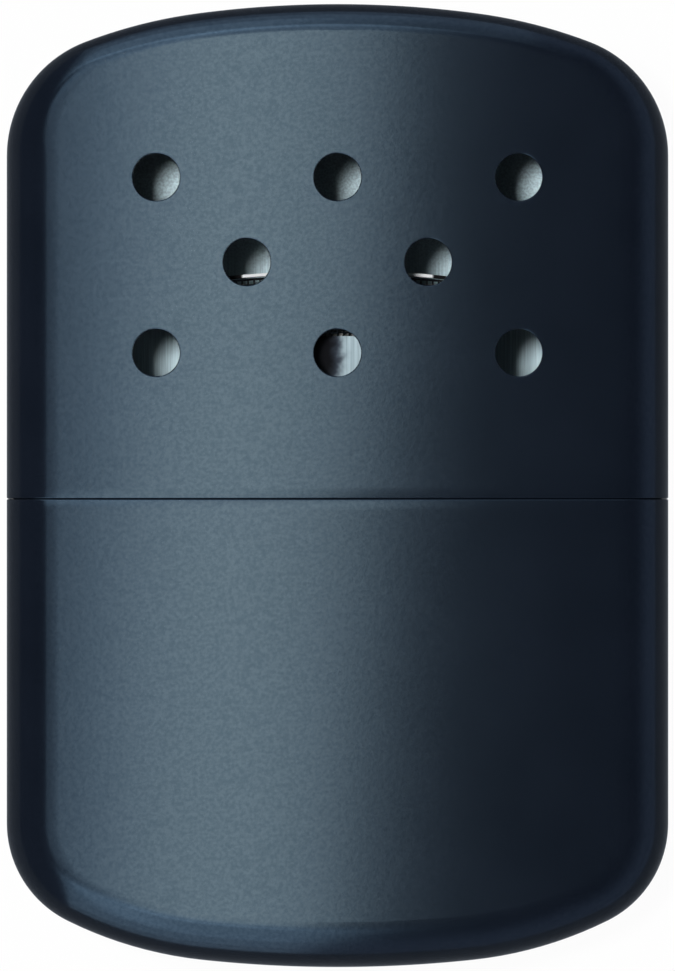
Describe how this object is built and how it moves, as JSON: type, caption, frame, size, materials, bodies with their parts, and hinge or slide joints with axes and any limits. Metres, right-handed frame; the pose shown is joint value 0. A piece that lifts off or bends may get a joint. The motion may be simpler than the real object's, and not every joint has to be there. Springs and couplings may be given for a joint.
{
  "type": "catalytic hand warmer",
  "caption": "Flat pocket-size case with a vented slip-on lid over a flameless burner, a filler neck and a cotton-packed lower tank.",
  "frame": {"origin": "under the middle of the closed case, on the surface that it lies on", "axes": "+X across the width, +Y from the tank's lower end to the lid's crown, +Z through the depth to the vented face"},
  "size_m": [0.0688, 0.1, 0.0138],
  "materials": {
    "coated_steel": "matt black powder coat",
    "bare_metal": "drawn, satin",
    "burner_metal": "brushed along its height, heat-tinted at the top",
    "gauze": "woven, darkened by heat",
    "glass_fibre": "matted fibre",
    "felt": "pressed felt",
    "cotton": "loose wadding"
  },
  "bodies": {
    "tank": {"tank_shell": "coated_steel", "tank_collar": "bare_metal", "filler_neck": "bare_metal", "felt_pad": "felt", "cotton_wadding": "cotton"},
    "lid": {"lid_shell": "coated_steel"},
    "burner": {"burner_base": "burner_metal", "burner_floor": "burner_metal", "gauze_front": "gauze", "gauze_back": "gauze", "catalyst_mat": "glass_fibre", "top_bridge": "burner_metal"}
  },
  "joints": [
    {"name": "lid_slide", "type": "slide", "parent": "tank", "child": "lid", "axis": [0, 1, 0], "range_m": [0, 0.04]},
    {"name": "burner_slide", "type": "slide", "parent": "tank", "child": "burner", "axis": [0, 1, 0], "range_m": [0, 0.012]}
  ]
}
